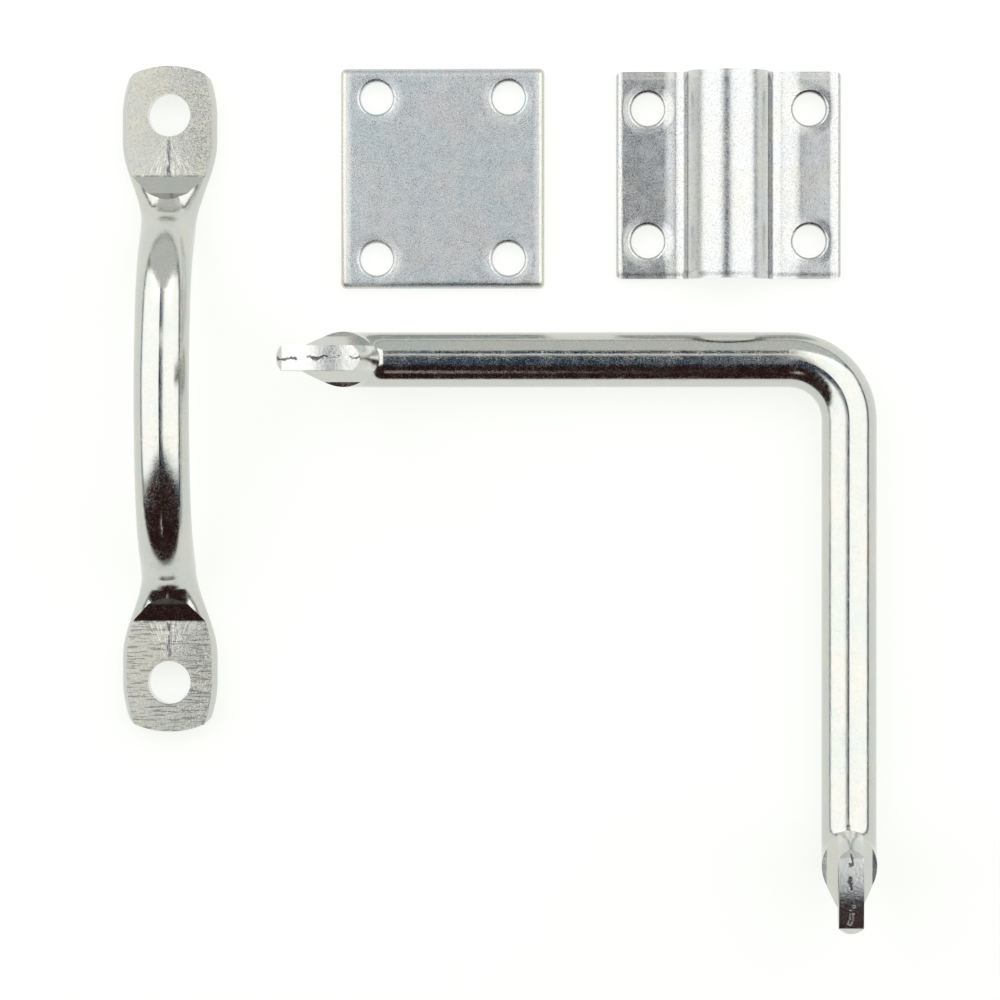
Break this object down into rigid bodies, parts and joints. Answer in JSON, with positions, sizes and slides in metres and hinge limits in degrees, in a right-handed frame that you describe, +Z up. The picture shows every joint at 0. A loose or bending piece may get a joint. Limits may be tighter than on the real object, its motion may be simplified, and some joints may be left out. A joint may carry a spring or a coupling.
{
  "type": "gate latch",
  "caption": "Sliding gate latch set: L-shaped round bar with flattened, drilled ends, bow-shaped strike, flat back plate and clamp plate with a half-round channel",
  "frame": {"origin": "middle of the laid-out set's bounding box, on the surface it lies on", "axes": "+Z up out of the surface; the bar's bolt leg lies along X and its handle leg along Y; the strike lies along Y on the -X side"},
  "size_m": [0.1742, 0.1976, 0.0465],
  "materials": {
    "zinc_strike": "bright zinc plate",
    "zinc_back_plate": "bright zinc plate",
    "zinc_clamp_plate": "bright zinc plate",
    "zinc_latch_bar": "bright zinc plate"
  },
  "bodies": {
    "fixed_pieces": {"strike": "zinc_strike", "back_plate": "zinc_back_plate", "clamp_plate": "zinc_clamp_plate"},
    "bar": {"latch_bar": "zinc_latch_bar"}
  },
  "joints": [
    {"name": "bar_turn", "type": "hinge", "parent": "fixed_pieces", "child": "bar", "pos_m": [0.02338, 0.03089, 0.00635], "axis": [-1, 0, 0], "range_deg": [0, 90]}
  ]
}
